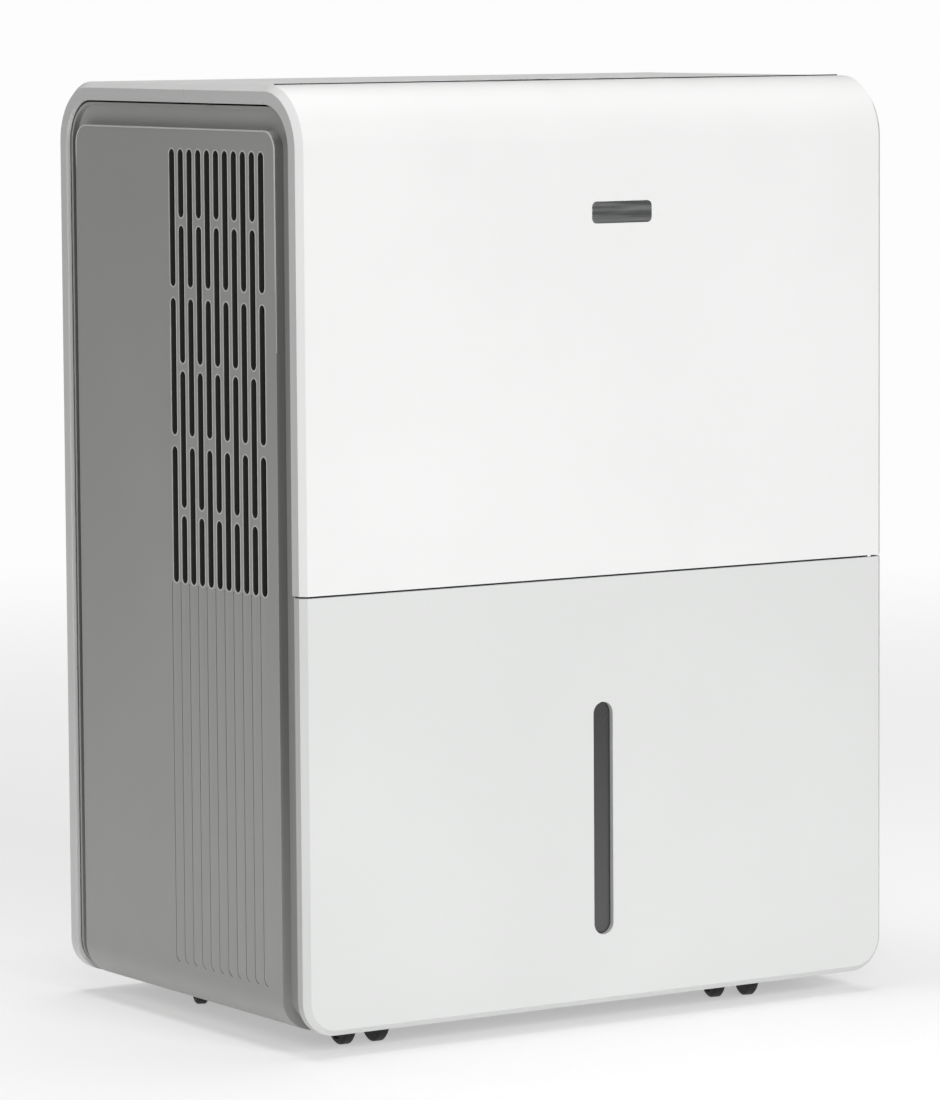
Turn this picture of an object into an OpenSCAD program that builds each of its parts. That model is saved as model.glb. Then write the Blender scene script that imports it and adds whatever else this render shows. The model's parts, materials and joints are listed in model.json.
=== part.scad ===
// Free-standing dehumidifier with a pull-out water bucket.
// +Z is up, the front faces -Y, and the origin lies on the floor under the middle of the cabinet.

/* [Cabinet] */
// Overall width across the side lips
body_w = 392; // [386:1:396]
// Depth from the front face to the rear face
body_d = 268; // [266:1:272]
// Height from the floor to the top
body_h = 530; // [526:1:536]
// Gap between the floor and the underside
ground_gap = 12; // [11.5:0.25:12.5]
// Height of the seam between front panel and bucket front
seam_z = 254; // [253:0.5:255]
// Radius of the curve between front, top and rear faces
top_r = 35; // [32:1:38]
// Radius of the two lower corners, seen from the front
foot_r = 20; // [19.5:0.5:20.5]
// Wall thickness of the white casing
wall = 2.6; // [2.4:0.1:2.8]
// Chamfer between the faces and the side lips
lip_chamfer = 3.4; // [3:0.1:3.8]
// Distance from the faces to the inner edge of the side lips
lip_depth = 10.5; // [10:0.1:11]

/* [Side panels] */
// Depth of the channel between lip and plateau
channel_depth = 5.8; // [5:0.1:6.2]
// Distance from the front face to the plateau
plateau_front = 25; // [24:0.5:26]
// Distance from the top face to the plateau
plateau_top = 24.5; // [23:0.5:26]
// Distance from the rear face to the plateau
plateau_rear = 21.5; // [20:0.5:23]
// Corner radius of the plateau
plateau_r = 11; // [9:1:13]

/* [Grille] */
// Number of slot columns
grille_columns = 11; // [9:2:11]
// Distance between neighbouring columns
grille_pitch = 9.68; // [9.5:0.02:9.7]
// Width of a slot
slot_w = 6; // [4.8:0.1:6.2]
// Distance from the front face to the first column
grille_front = 39.5; // [39:0.5:41]
// Lower end of the slots
grille_z0 = 251.3; // [250:0.1:253]
// Upper end of the slots
grille_z1 = 493.7; // [490:0.1:495]
// Lower end of the fine grooves
groove_z0 = 36; // [34:1:50]

/* [Bucket] */
// Depth of the side lips of the bucket front
bucket_lip = 8.6; // [8:0.1:9]
// Width of the level window
window_w = 13; // [11:0.5:14]
// Lower end of the level window
window_z0 = 51.4; // [51:0.1:54]
// Upper end of the level window
window_z1 = 183.2; // [170:0.1:186]
// Length of the handle's arms, from pivot to bar
handle_arm = 42; // [41:0.5:43]

/* [Casters] */
// Radius of the caster wheels
wheel_r = 13; // [12.5:0.1:13]
// Distance from stem to axle
caster_trail = 10; // [9.5:0.1:10]
// Stem position on the left, from the middle
caster_left = 141; // [138:1:141]
// Stem position on the right, from the middle
caster_right = 113; // [110:1:120]

/* [Fan] */
// Outer radius of the fan wheel
fan_r = 88; // [80:1:88]
// Number of fan blades
fan_blades = 32; // [24:1:36]

/* [Hidden] */
$fn = 64;

WHITE = "#f1f2f0";
GREY = "#8b8c88";
DARK = "#3a3b3b";
BLACK = "#161616";
STEEL = "#b9bcc0";
COPPER = "#b87349";

half_w = body_w / 2;
half_d = body_d / 2;
eps = 0.01;
clear = 0.4;
gap = 0.3;
seam_gap = 1.1;
panel_gap = 1.1;

// Casing
lip_t = 2.6;
inner_chamfer = lip_chamfer + 1.2;
foot_x = half_w - foot_r;
foot_z = ground_gap + foot_r;
front_split = -half_d + top_r + 0.5;
rear_split = front_split + 86.7;
in_front = -half_d + wall;
in_rear = half_d - wall;
in_top = body_h - wall;

// Inner levels
base_z0 = ground_gap + 3;
deck_z = 45.5;
base_x = 171;
base_front = -121;
base_rear = 129.2;
base_t = 2.4;
bay_x = 180;
bay_rear = 12;
liner_t = 2.4;
mid_z = 250;
mid_t = 2.6;
inner_x = 186;

// Casters: front and rear stems, and how far each caster is turned at rest
caster_y_front = -90.4;
caster_y_rear = 58.5;
well_r = 27.8;
well_top = 29;
turn_fl = -6;
turn_fr = -14;
turn_rl = -22;
turn_rr = 12;
axle_r = 2;
wheel_in = 6;
wheel_out = 13.8;
fork_half = 5.4;
fit_gap = 0.05;

// Bucket
tub_x = 166;
tub_y0 = -126.3;
tub_y1 = 2;
tub_z0 = 48;
tub_z1 = 200;
tub_t = 2.4;
pivot_y = -62;
pivot_z = 186;
pivot_r = 4;
handle_rise = 22.8;
handle_reach = sqrt(pow(handle_arm, 2) - pow(handle_rise, 2));
float_y = -8;
float_z = 183;
float_x0 = -149;
float_x1 = -113;

// Fan and coils
fan_x = 25;
fan_z = 382;
scroll_y0 = -99;
scroll_y1 = 7;
scroll_t = 2.2;
coil_z0 = 256;
coil_z1 = 466;
coil_x = 147;
comp_x = 72;
comp_y = 72;

// Rear details
filter_x = 146;
filter_z0 = 262;
filter_z1 = 468;
outlet_x = -120;
outlet_z = 215;
cord_x = 140;
cord_z = 60;
drip_x = 40;

// Control panel on the top
panel_y = -55;
board_z = 515;

// ---------- helpers ----------

// Extrudes a (y, z) outline along X
module along_x(x0, x1) {
    translate([x0, 0, 0]) rotate([90, 0, 90]) linear_extrude(x1 - x0) children();
}

// Extrudes an (x, z) outline along Y
module along_y(y0, y1) {
    translate([0, y1, 0]) rotate([90, 0, 0]) linear_extrude(y1 - y0) children();
}

module block(low, high) {
    translate(low) cube(high - low);
}

module rod_x(x0, x1, y, z, r) {
    translate([x0, y, z]) rotate([0, 90, 0]) cylinder(h = x1 - x0, r = r);
}

module rod_y(y0, y1, x, z, r) {
    translate([x, y1, z]) rotate([90, 0, 0]) cylinder(h = y1 - y0, r = r);
}

module rod_z(z0, z1, x, y, r) {
    translate([x, y, z0]) cylinder(h = z1 - z0, r = r);
}

// Upright slot with round ends, as a 2D outline
module stadium(x, z0, z1, w) {
    translate([x - w / 2, z0 + w / 2]) square([w, z1 - z0 - w]);
    for (z = [z0 + w / 2, z1 - w / 2]) translate([x, z]) circle(w / 2);
}

// Rectangle with four round corners, as a 2D outline
module round_rect(low, high, r) {
    translate([low[0] + r, low[1]]) square([high[0] - low[0] - 2 * r, high[1] - low[1]]);
    translate([low[0], low[1] + r]) square([high[0] - low[0], high[1] - low[1] - 2 * r]);
    for (x = [low[0] + r, high[0] - r], y = [low[1] + r, high[1] - r]) {
        translate([x, y]) circle(r);
    }
}

// ---------- casing shell ----------

// Cross-section of the wall with its two side lips: x across, q inwards from the face
function shell_section(lip) = [
    [-half_w + lip_chamfer, 0], [half_w - lip_chamfer, 0],
    [half_w, lip_chamfer], [half_w, lip], [half_w - lip_t, lip],
    [half_w - lip_t, inner_chamfer], [half_w - inner_chamfer, wall],
    [-half_w + inner_chamfer, wall], [-half_w + lip_t, inner_chamfer],
    [-half_w + lip_t, lip], [-half_w, lip], [-half_w, lip_chamfer]
];

module shell_front(z0, z1, lip = lip_depth) {
    translate([0, 0, z0]) linear_extrude(z1 - z0)
        polygon([for (p = shell_section(lip)) [p[0], -half_d + p[1]]]);
}

module shell_top(y0, y1) {
    along_y(y0, y1) polygon([for (p = shell_section(lip_depth)) [p[0], body_h - p[1]]]);
}

module shell_front_corner() {
    translate([0, -half_d + top_r, body_h - top_r]) rotate([90, 0, -90])
        rotate_extrude(angle = 90, $fn = 96)
        polygon([for (p = shell_section(lip_depth)) [top_r - p[1], p[0]]]);
}

// Lower rail of a front wall: round corners and a straight bottom edge
module shell_foot(lip) {
    rail = [
        [0, foot_r], [0, lip_chamfer], [lip_chamfer, 0], [lip, 0], [lip, lip_t],
        [inner_chamfer, lip_t], [wall, inner_chamfer], [wall, foot_r]
    ];
    along_x(-foot_x, foot_x) polygon([for (p = rail) [-half_d + p[0], ground_gap + p[1]]]);
    for (side = [0, 1]) {
        translate([side ? foot_x : -foot_x, 0, foot_z]) rotate([90, 0, 0])
            rotate([0, 0, side ? -90 : 180]) rotate_extrude(angle = 90)
            polygon([for (p = rail) [foot_r - p[1], half_d - p[0]]]);
    }
}

// Outline of the cabinet seen from the side, moved inwards by its own amount at each edge
module side_region(front, top, rear, r) {
    y0 = -half_d + front;
    y1 = half_d - rear;
    z1 = body_h - top;
    translate([y0, 0]) square([y1 - y0, z1 - r]);
    translate([y0 + r, 0]) square([y1 - y0 - 2 * r, z1]);
    for (y = [y0 + r, y1 - r]) translate([y, z1 - r]) circle(r, $fn = 96);
}

// Layer of a side wall that follows the lower round edge, between two depths
module side_layer(depth0, depth1) {
    along_y(-half_d, half_d) intersection() {
        difference() {
            front_region(depth0);
            front_region(depth1);
        }
        translate([-half_w, 0]) square([half_w - base_x - clear, body_h]);
    }
}

module front_region(inset) {
    r = foot_r - inset;
    x = half_w - inset;
    translate([-x, foot_z]) square([2 * x, body_h - foot_z]);
    translate([-foot_x, ground_gap + inset]) square([2 * foot_x, r + 1]);
    for (side = [-1, 1]) translate([side * foot_x, foot_z]) circle(r);
}

// ---------- casing ----------

module front_panel() color(WHITE) difference() {
    union() {
        shell_front(seam_z + seam_gap / 2, body_h - top_r);
        shell_front_corner();
        shell_top(-half_d + top_r, front_split - gap / 2);
    }
    badge_shape(clear / 4);
}

module badge_shape(grow) {
    along_y(-half_d - 1 + grow * 10, -half_d + 0.8 + grow)
        round_rect([-5.8 - grow, 451 - grow], [34.2 + grow, 463 + grow], 3);
}

module badge() color(STEEL) intersection() {
    badge_shape(0);
    block([-30, -half_d, 440], [60, 0, 480]);
}

button_x = [-74, -50, -26, 26, 50, 74];
button_r = 7;

module top_panel() color(WHITE) {
    difference() {
        shell_top(front_split + gap / 2, rear_split - gap / 2);
        for (x = button_x) rod_z(in_top - 1, body_h + 1, x, panel_y, button_r + gap);
        translate([0, 0, body_h - 1.2]) linear_extrude(2) lens_outline(0.15);
    }
    for (x = [-78, 78], y = [panel_y - 22, panel_y + 22]) difference() {
        rod_z(board_z + 1.7, in_top + eps, x, y, 3.5);
        rod_z(board_z + 1, in_top - 1, x, y, 1.3);
    }
}

module lens_outline(grow) {
    round_rect([-15 - grow, panel_y - 9 - grow], [15 + grow, panel_y + 9 + grow], 3);
}

module display_lens() color(BLACK) {
    translate([0, 0, body_h - 1.15]) linear_extrude(1) lens_outline(0);
}

module rear_cover() color(WHITE) difference() {
    union() {
        shell_top(rear_split + gap / 2, half_d - top_r);
        mirror([0, 1, 0]) shell_front_corner();
        mirror([0, 1, 0]) shell_front(foot_z, body_h - top_r);
        mirror([0, 1, 0]) shell_foot(lip_depth);
        rod_y(113.6, in_rear + 1, outlet_x, outlet_z, 33.4);
        block([-62, 110, 474], [62, in_rear + 1, 500]);
        for (p = case_screw_points) rod_y(base_rear + 0.2, in_rear + 1, p[0], p[1], 6);
    }
    block([-filter_x, 120, filter_z0], [filter_x, 140, filter_z1]);
    along_y(116, 140) circle_at(outlet_x, outlet_z, 31);
    along_y(110, 140) circle_at(outlet_x, outlet_z, 10.4);
    along_y(112.4, 140) round_rect([-59.6, 476.4], [59.6, 497.6], 6);
    along_y(120, 140) circle_at(cord_x, cord_z, 8.1);
    for (p = case_screw_points) {
        along_y(131.2, 140) circle_at(p[0], p[1], 4.2);
        along_y(120, 140) circle_at(p[0], p[1], 2);
    }
}

module circle_at(x, z, r) {
    translate([x, z]) circle(r);
}

module side_panel(open_grille) {
    rim = lip_depth + panel_gap;
    rim_r = top_r - rim;
    floor_in = channel_depth + 2.4;
    difference() {
        union() {
            intersection() {
                side_layer(0, 2.4);
                along_x(-half_w, 0) plateau_region(0);
            }
            intersection() {
                side_layer(0, floor_in);
                along_x(-half_w, 0) difference() {
                    plateau_region(0);
                    plateau_region(2.4);
                }
            }
            intersection() {
                side_layer(channel_depth, floor_in);
                along_x(-half_w, 0) difference() {
                    side_region(rim, rim, rim, rim_r);
                    plateau_region(1);
                }
            }
            intersection() {
                side_layer(lip_t, floor_in);
                along_x(-half_w, 0) difference() {
                    side_region(rim, rim, rim, rim_r);
                    side_region(rim + 1.8, rim + 1.8, rim + 1.8, rim_r - 1.8);
                }
            }
        }
        along_x(-half_w - 1, -half_w + (open_grille ? 4 : 1)) grille_slots();
        along_x(-half_w - 1, -half_w + 0.5) grooves();
    }
}

module plateau_region(inset) {
    side_region(plateau_front + inset, plateau_top + inset, plateau_rear + inset, plateau_r - inset);
}

function column_y(i) = -half_d + grille_front + i * grille_pitch;

// Slot ends of a column: three long slots, or two long ones between two halves
grille_h = grille_z1 - grille_z0;
long_slot = 76.5;
half_slot = 38;
gap_three = (grille_h - 3 * long_slot) / 2;
gap_four = (grille_h - 2 * long_slot - 2 * half_slot) / 3;
starts_three = [0, long_slot + gap_three, 2 * (long_slot + gap_three)];
starts_four = [0, half_slot + gap_four, half_slot + long_slot + 2 * gap_four,
    grille_h - half_slot];

module grille_slots() {
    for (i = [0 : grille_columns - 1]) {
        starts = i % 2 == 0 ? starts_three : starts_four;
        for (k = [0 : len(starts) - 1]) {
            short = i % 2 == 1 && (k == 0 || k == 3);
            z = grille_z0 + starts[k];
            stadium(column_y(i), z, z + (short ? half_slot : long_slot), slot_w);
        }
    }
}

// Fine upright grooves below the slots, each ending in a quarter-round hook
module grooves() {
    hook_r = 4;
    w = 0.8;
    for (i = [0 : grille_columns - 1]) {
        y = column_y(i) + grille_pitch / 2;
        translate([y - w / 2, groove_z0 + hook_r]) square([w, grille_z0 - groove_z0 - hook_r]);
        translate([y - hook_r, groove_z0 + hook_r]) intersection() {
            difference() {
                circle(hook_r + w / 2);
                circle(hook_r - w / 2);
            }
            translate([0, -2 * hook_r]) square(2 * hook_r);
        }
    }
}

module left_side_panel() color(GREY) side_panel(true);

module right_side_panel() color(GREY) mirror([1, 0, 0]) side_panel(false);

// ---------- inner structure ----------

caster_points = [
    [-caster_left, caster_y_front], [caster_right, caster_y_front],
    [-caster_left, caster_y_rear], [caster_right, caster_y_rear]
];
case_screw_points = [[-150, 36], [0, 36], [150, 36], [-172, 245], [172, 245]];
foot_bolts = [for (sx = [-1, 1], sy = [-1, 1]) [comp_x + sx * 54.5, comp_y + sy * 20]];

// Double-walled floor of the cabinet with a round well for each caster
module base_pan() color(DARK) difference() {
    union() {
        difference() {
            block([-base_x, base_front, base_z0], [base_x, base_rear, deck_z]);
            block([-base_x + base_t, base_front + base_t, base_z0 + base_t],
                [base_x - base_t, base_rear - base_t, deck_z - base_t]);
        }
        block([-inner_x, base_front, deck_z - base_t], [inner_x, base_rear - 6, deck_z]);
        for (p = caster_points) rod_z(base_z0, deck_z - 1, p[0], p[1], well_r + 2);
        for (p = case_screw_points) if (p[1] < 100) rod_y(112, base_rear, p[0], p[1], 5);
    }
    for (p = caster_points) {
        rod_z(base_z0 - 1, well_top, p[0], p[1], well_r);
        rod_z(well_top - 1, deck_z - 3, p[0], p[1], 4 + fit_gap);
    }
    for (p = case_screw_points) if (p[1] < 100) rod_y(111, base_rear + 1, p[0], p[1], 1.7);
    for (p = foot_bolts) rod_z(deck_z - 4.5, deck_z + 1, p[0], p[1], 3);
}

module bucket_bay_liner() color(DARK) {
    difference() {
        block([-bay_x - liner_t, -118, deck_z + 0.1], [bay_x + liner_t, bay_rear + liner_t, 249.8]);
        block([-bay_x, -119, deck_z - 1], [bay_x, bay_rear, 251]);
        block([drip_x - 9.5, bay_rear - 1, 239.5], [drip_x + 9.5, bay_rear + 4, 251]);
    }
    for (side = [-1, 1], z = [58, 150]) {
        block([side * (bay_x - 3.5) - 3.5, -116, z], [side * (bay_x - 3.5) + 3.5, 8, z + 5]);
    }
}

module mid_deck() color(DARK) difference() {
    union() {
        block([-inner_x, -122, mid_z], [inner_x, base_rear, mid_z + mid_t]);
        block([-inner_x, -122, mid_z - 9], [inner_x, -119.6, mid_z + 1]);
        for (p = case_screw_points) if (p[1] > 100) rod_y(108, base_rear, p[0], p[1], 5);
    }
    rod_z(mid_z - 1, mid_z + 5, drip_x, 30, 8);
    rod_z(mid_z - 5, mid_z + 5, comp_x, 40, 12);
    rod_z(mid_z - 5, mid_z + 5, 178, 60, 7);
    rod_z(mid_z - 5, mid_z + 5, outlet_x, 96, 9);
    for (p = case_screw_points) if (p[1] > 100) rod_y(107, base_rear + 1, p[0], p[1], 1.7);
}

module air_baffle() color(DARK) difference() {
    block([-inner_x, scroll_y1 + 0.4, 254], [inner_x, scroll_y1 + 2.8, 518]);
    rod_y(0, 20, fan_x, fan_z, 76);
}

module electrical_box() color(STEEL) difference() {
    block([146, -118, 253.2], [182, 0, 420]);
    block([147.5, -116.5, 254.7], [183, -1.5, 418.5]);
    for (z = [350 : 12 : 400]) block([145, -90, z], [150, -30, z + 4]);
}

module run_capacitor() color("#d8d9dc") {
    rod_z(255, 325, 164.5, -40, 16);
    rod_z(325, 328, 164.5, -40, 14);
    for (x = [160, 169]) block([x - 0.5, -43, 328], [x + 0.5, -37, 337]);
}

module humidity_sensor() color(WHITE) difference() {
    block([-170, 100, 300], [-158, 122, 330]);
    for (z = [304 : 5 : 325]) block([-171, 104, z], [-157, 118, z + 2]);
}

module bucket_sensor() color(BLACK) {
    block([-140, bay_rear + liner_t, 176], [-122, 24, 200]);
    block([-136, 24, 182], [-126, 30, 194]);
}

// Condensate falls into the pan, runs along a trough and drips through a chute under the deck
module drain_pan() color(DARK) {
    difference() {
        union() {
            block([-152, 66, 253.2], [152, 124, 268]);
            block([drip_x - 10, 22, 253.2], [drip_x + 10, 67, 262]);
            rod_z(246, 254, drip_x, 30, 6);
            rod_z(240, 254, outlet_x, 96, 6.5);
        }
        block([-149.8, 68.2, 255.4], [149.8, 121.8, 269]);
        block([drip_x - 8, 24, 255.4], [drip_x + 8, 70, 263]);
        rod_z(239, 260, outlet_x, 96, 5);
        rod_z(245, 260, drip_x, 30, 4.5);
    }
    difference() {
        union() {
            block([drip_x - 9, -26, 240], [drip_x + 9, 38, mid_z - 0.1]);
            rod_z(234, 241, drip_x, -16, 6);
        }
        block([drip_x - 7, -24, 242], [drip_x + 7, 36, mid_z + 1]);
        rod_z(233, 243, drip_x, -16, 4.5);
    }
}

plug_r = 8 - fit_gap;
thread_r = 13.45;

module drain_outlet() color(WHITE) difference() {
    union() {
        rod_z(outlet_z - 12, 247, outlet_x, 96, 10);
        rod_y(96, 118.5, outlet_x, outlet_z, 10);
        rod_y(116.2, 118.2, outlet_x, outlet_z, 15);
        rod_y(118.2, 131.5, outlet_x, outlet_z, thread_r);
    }
    rod_z(outlet_z - 9, 248, outlet_x, 96, 7.5);
    rod_y(96, 121, outlet_x, outlet_z, 7.5);
    rod_y(120.5, 132, outlet_x, outlet_z, 8);
}

module drain_plug() color(BLACK) {
    rod_y(121, 131.8, outlet_x, outlet_z, plug_r);
    rod_y(131.7, 133.6, outlet_x, outlet_z, 11);
    block([outlet_x - 2, 131.7, outlet_z - 13], [outlet_x + 2, 133.4, outlet_z - 10]);
}

module cord_inlet() color(BLACK) difference() {
    union() {
        rod_y(127.4, in_rear - 0.05, cord_x, cord_z, 12);
        rod_y(in_rear - 1, half_d, cord_x, cord_z, 7.9);
    }
    rod_y(120, 140, cord_x, cord_z, 4);
}

module case_screws() color(STEEL) for (p = case_screw_points) difference() {
    union() {
        rod_y(131.25, 133.4, p[0], p[1], 3.7);
        rod_y(114, 131.3, p[0], p[1], 1.6);
    }
    for (a = [0, 90]) translate([p[0], 133.5, p[1]]) rotate([0, a, 0])
        cube([4, 2, 0.9], center = true);
}

// ---------- refrigeration ----------

// Finned coil between two end plates, with the tube bends outside the plates
module coil(y0, y1) {
    fins = 42;
    fin_pitch = 2 * coil_x / fins;
    rows = 8;
    row_pitch = (coil_z1 - coil_z0 - 12) / rows;
    for (i = [0 : fins]) {
        x = -coil_x + i * fin_pitch;
        block([x - 0.2, y0, coil_z0], [x + 0.2, y1, coil_z1]);
    }
    for (side = [-1, 1]) {
        block([side * (coil_x + 0.9) - 0.6, y0, coil_z0], [side * (coil_x + 0.9) + 0.6, y1, coil_z1]);
    }
    for (k = [0 : rows - 1], side = [-1, 1]) {
        z = coil_z0 + 16 + (k + (side > 0 ? 0.5 : 0)) * row_pitch;
        if (z + row_pitch / 2 < coil_z1) {
            translate([side * (coil_x + 1.4), (y0 + y1) / 2, z + row_pitch / 4])
                rotate([0, 0, side > 0 ? 0 : 180]) rotate([90, 0, 0]) rotate([0, 0, -90])
                rotate_extrude(angle = 180, $fn = 32) translate([row_pitch / 4, 0]) circle(2.6, $fn = 16);
        }
    }
}

module evaporator() color("#c9ced2") coil(98, 120);

module condenser() color("#c9ced2") coil(72, 94);

module compressor() color(BLACK) {
    translate([comp_x, comp_y, 0]) rotate_extrude() intersection() {
        union() {
            translate([0, 58]) square([25, 160]);
            translate([0, 83]) square([50, 110]);
            for (z = [83, 193]) translate([25, z]) circle(25);
        }
        square([60, 300]);
    }
    difference() {
        block([comp_x - 62, comp_y - 28, 57], [comp_x + 62, comp_y + 28, 60]);
        for (p = foot_bolts) rod_z(56, 61, p[0], p[1], 3.4);
    }
    rod_z(90, 178, -6, 60, 20);
    rod_z(178, 184, -6, 60, 12);
    rod_x(-6, 40, 60, 110, 5);
    rod_z(217, 224, comp_x + 16, comp_y + 8, 9);
}

module compressor_grommets() color(BLACK) for (p = foot_bolts) difference() {
    rod_z(deck_z + 0.05, 56.95, p[0], p[1], 8.5);
    rod_z(deck_z - 1, 58, p[0], p[1], 3.4);
}

module compressor_bolts() color(STEEL) for (p = foot_bolts) {
    rod_z(deck_z - 4, 68, p[0], p[1], 2.95);
    translate([p[0], p[1], 60.05]) cylinder(h = 5, r = 5.4, $fn = 6);
}

// Tube that turns at the listed points
module pipe_run(points, r) {
    for (i = [0 : len(points) - 2]) {
        a = points[i];
        v = points[i + 1] - a;
        translate(a) rotate([0, acos(v[2] / norm(v)), atan2(v[1], v[0])])
            cylinder(h = norm(v), r = r, $fn = 24);
    }
    for (i = [1 : len(points) - 2]) translate(points[i]) sphere(r + 0.3, $fn = 24);
}

module refrigerant_tubes() color(COPPER) {
    discharge = [[comp_x, 40, 218.1], [comp_x, 40, 290], [162, 40, 290], [162, 83, 290],
        [162, 83, 276], [coil_x + 1.6, 83, 276]];
    suction = [[coil_x + 1.6, 109, 458], [178, 109, 458], [178, 60, 458], [178, 60, 236],
        [-6, 60, 236], [-6, 60, 184.1]];
    liquid = [[-coil_x - 1.6, 83, 290.5], [-166, 83, 290.5], [-166, 40, 290.5], [-166, 40, 299.9]];
    capillary = [[-166, 40, 352.1], [-166, 40, 365], [-166, 109, 365], [-coil_x - 1.6, 109, 365]];
    pipe_run(discharge, 4);
    pipe_run(suction, 5);
    pipe_run(liquid, 3);
    pipe_run(capillary, 2);
}

module filter_drier() color(COPPER) translate([-166, 40, 0]) {
    translate([0, 0, 306]) cylinder(h = 40, r = 11);
    translate([0, 0, 300]) cylinder(h = 6, r1 = 4, r2 = 11);
    translate([0, 0, 346]) cylinder(h = 6, r1 = 11, r2 = 4);
}

// ---------- air path ----------

// Spiral outline of the scroll with its outlet at the left side
scroll_start = 150;
scroll_sweep = 240;
function scroll_radius(t) = fan_r + 8 + 30 * t;
function scroll_outline(grow) = concat(
    [for (t = [0 : 1 / 40 : 1]) let (a = scroll_start - scroll_sweep * t, r = scroll_radius(t) + grow)
        [fan_x + r * cos(a), fan_z + r * sin(a)]],
    [[-inner_x + 1, fan_z - scroll_radius(1) - grow], [-inner_x + 1, 494 + grow], [-120, 470 + grow]]
);

module fan_scroll() color("#54575a") {
    difference() {
        along_y(scroll_y0, scroll_y1) polygon(scroll_outline(scroll_t));
        along_y(scroll_y0 + scroll_t, scroll_y1 - scroll_t) polygon(scroll_outline(0));
        block([-inner_x - 1, scroll_y0 + scroll_t, fan_z - scroll_radius(1)],
            [-inner_x + 4, scroll_y1 - scroll_t, 494]);
        rod_y(scroll_y0 - 1, scroll_y0 + 5, fan_x, fan_z, 42);
        rod_y(scroll_y1 - 5, scroll_y1 + 1, fan_x, fan_z, 74);
    }
    for (x = [-20, 70]) block([x, -90, 253.2], [x + 3, -2, fan_z - scroll_radius(1) - 1]);
}

motor_y0 = -124;

module fan_motor() color(STEEL) difference() {
    union() {
        rod_y(motor_y0 + 4, -86, fan_x, fan_z, 39);
        rod_y(motor_y0, -84, fan_x, fan_z, 12);
        along_y(scroll_y0 - 2.4, scroll_y0 - 0.1) difference() {
            circle_at(fan_x, fan_z, 52);
            for (a = [45 : 90 : 315]) circle_at(fan_x + 47 * cos(a), fan_z + 47 * sin(a), 2);
        }
        for (a = [0 : 15 : 345]) translate([fan_x, 0, fan_z]) rotate([0, a, 0])
            block([-1, motor_y0 + 8, 38], [1, -102, 41]);
    }
    rod_y(motor_y0 - 1, -80, fan_x, fan_z, 4 + fit_gap);
}

module fan_shaft() color(STEEL) rod_y(motor_y0 + 1, -52, fan_x, fan_z, 4);

module fan_wheel() color("#2c2f33") difference() {
    union() {
        rod_y(-80, -77.6, fan_x, fan_z, fan_r);
        rod_y(-78, -56, fan_x, fan_z, 13);
        along_y(-5, -2) difference() {
            circle_at(fan_x, fan_z, fan_r);
            circle_at(fan_x, fan_z, fan_r - 15);
        }
        along_y(-78, -4) for (i = [0 : fan_blades - 1]) {
            translate([fan_x, fan_z]) rotate(i * 360 / fan_blades)
                translate([fan_r - 14.5, 0]) rotate(-24) square([13.5, 1.3]);
        }
    }
    rod_y(-81, -50, fan_x, fan_z, 4);
}

filter_rim = 8;

module air_filter_frame() color(WHITE) {
    x = filter_x - 1;
    z0 = filter_z0 + 1;
    z1 = filter_z1 - 1;
    difference() {
        block([-x, 124.5, z0], [x, 133.4, z1]);
        block([-x + filter_rim, 120, z0 + filter_rim], [x - filter_rim, 140, z1 - filter_rim]);
    }
    for (k = [1 : 18]) {
        bar_x = -x + k * 2 * x / 19;
        block([bar_x - 1.2, 129.4, z0 + filter_rim - 1], [bar_x + 1.2, 133.4, z1 - filter_rim + 1]);
    }
    for (k = [1 : 3]) {
        bar_z = z0 + k * (z1 - z0) / 4;
        block([-x + filter_rim - 1, 129.4, bar_z - 1.5], [x - filter_rim + 1, 132.6, bar_z + 1.5]);
    }
}

module air_filter_mesh() color(BLACK) {
    block([-filter_x + 9.4, 128.4, filter_z0 + 9.4], [filter_x - 9.4, 129.35, filter_z1 - 9.4]);
}

// ---------- control panel ----------

module control_board() color("#2f6b3c") {
    difference() {
        translate([0, 0, board_z]) linear_extrude(1.6) round_rect([-84, -80], [84, -30], 3);
        for (x = [-78, 78], y = [panel_y - 22, panel_y + 22]) rod_z(board_z - 1, board_z + 3, x, y, 1.3);
    }
    for (x = button_x) block([x - 3, panel_y - 3, board_z + 1.6], [x + 3, panel_y + 3, board_z + 5]);
    block([-14, panel_y - 8, board_z + 1.6], [14, panel_y + 8, body_h - 3]);
    block([-70, -76, board_z - 8], [-40, -66, board_z]);
    block([20, -76, board_z - 10], [50, -46, board_z]);
}

module board_screws() color(STEEL) for (x = [-78, 78], y = [panel_y - 22, panel_y + 22]) {
    rod_z(board_z - 2, board_z - 0.05, x, y, 2.6);
    rod_z(board_z - 1, board_z + 9, x, y, 1.2);
}

// Round key cap with a retaining collar under the panel and a stem over its switch
module key(i) {
    rod_z(in_top - 1, body_h - 0.2, button_x[i], panel_y, button_r);
    rod_z(in_top - 2.3, in_top - 0.3, button_x[i], panel_y, button_r + 1.5);
    rod_z(board_z + 6.2, in_top - 2, button_x[i], panel_y, 2);
}

module button_power() color("#d9dbdb") key(0);
module button_mode() color("#d9dbdb") key(1);
module button_fan() color("#d9dbdb") key(2);
module button_timer() color("#d9dbdb") key(3);
module button_up() color("#d9dbdb") key(4);
module button_down() color("#d9dbdb") key(5);

// ---------- bucket ----------

bucket_screw_x = [-140, -60, 60, 140];

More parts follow.
